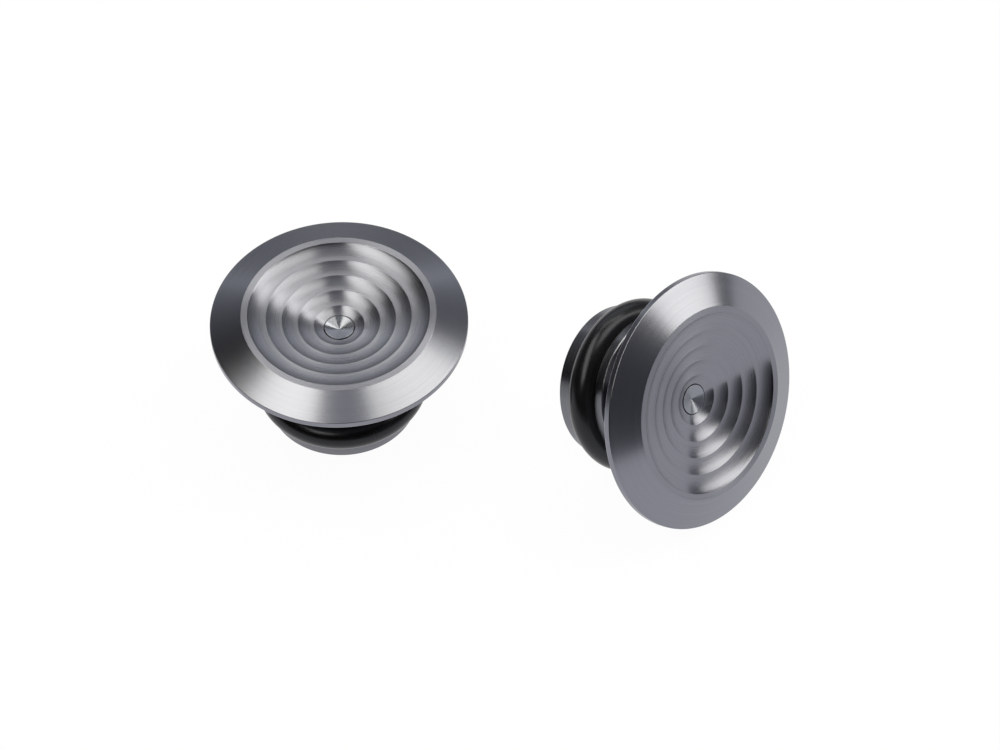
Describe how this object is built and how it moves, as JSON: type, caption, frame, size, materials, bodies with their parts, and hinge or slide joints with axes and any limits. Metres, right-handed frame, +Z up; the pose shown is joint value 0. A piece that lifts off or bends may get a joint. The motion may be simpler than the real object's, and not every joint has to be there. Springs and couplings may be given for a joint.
{
  "type": "handlebar end plugs",
  "caption": "Turned aluminium handlebar end plugs with ringed dished caps; turning a cap draws its end disc up and squeezes a rubber ring against the bore of the bar.",
  "frame": {"origin": "on the floor under the middle of the pair's bounding box", "axes": "+Z up, +X from the standing plug towards the lying plug, +Y away from the viewer"},
  "size_m": [0.0717, 0.0426, 0.0293],
  "materials": {
    "cap_aluminium": "grey anodised, fine turned",
    "disc_aluminium": "grey anodised, turned",
    "stud_steel": "bright turned",
    "ring_rubber": "moulded, semi-gloss"
  },
  "bodies": {
    "seats": {"left_front_disc": "disc_aluminium", "left_rubber_ring": "ring_rubber", "right_front_disc": "disc_aluminium", "right_rubber_ring": "ring_rubber"},
    "left_turning_cap": {"left_cap": "cap_aluminium", "left_draw_stud": "stud_steel"},
    "left_drawn_end": {"left_end_disc": "disc_aluminium"},
    "right_turning_cap": {"right_cap": "cap_aluminium", "right_draw_stud": "stud_steel"},
    "right_drawn_end": {"right_end_disc": "disc_aluminium"}
  },
  "joints": [
    {"name": "left_cap_turn", "type": "hinge", "parent": "seats", "child": "left_turning_cap", "pos_m": [-0.01986, 0.0053, 0], "axis": [0, 0, -1], "range_deg": [0, 360]},
    {"name": "left_end_draw", "type": "slide", "parent": "seats", "child": "left_drawn_end", "axis": [0, 0, 1], "range_m": [0, 0.0007], "deforming": ["left_rubber_ring"]},
    {"name": "right_cap_turn", "type": "hinge", "parent": "seats", "child": "right_turning_cap", "pos_m": [0.01387, 0.00048, 0.0084], "axis": [-0.6962, 0.578, -0.4257], "range_deg": [0, 360]},
    {"name": "right_end_draw", "type": "slide", "parent": "seats", "child": "right_drawn_end", "axis": [0.6962, -0.578, 0.4257], "range_m": [0, 0.0007], "deforming": ["right_rubber_ring"]}
  ],
  "couplings": [
    {"joint": "left_end_draw", "follows": "left_cap_turn", "m_per_rad": 0.0001114},
    {"joint": "right_end_draw", "follows": "right_cap_turn", "m_per_rad": 0.0001114}
  ]
}
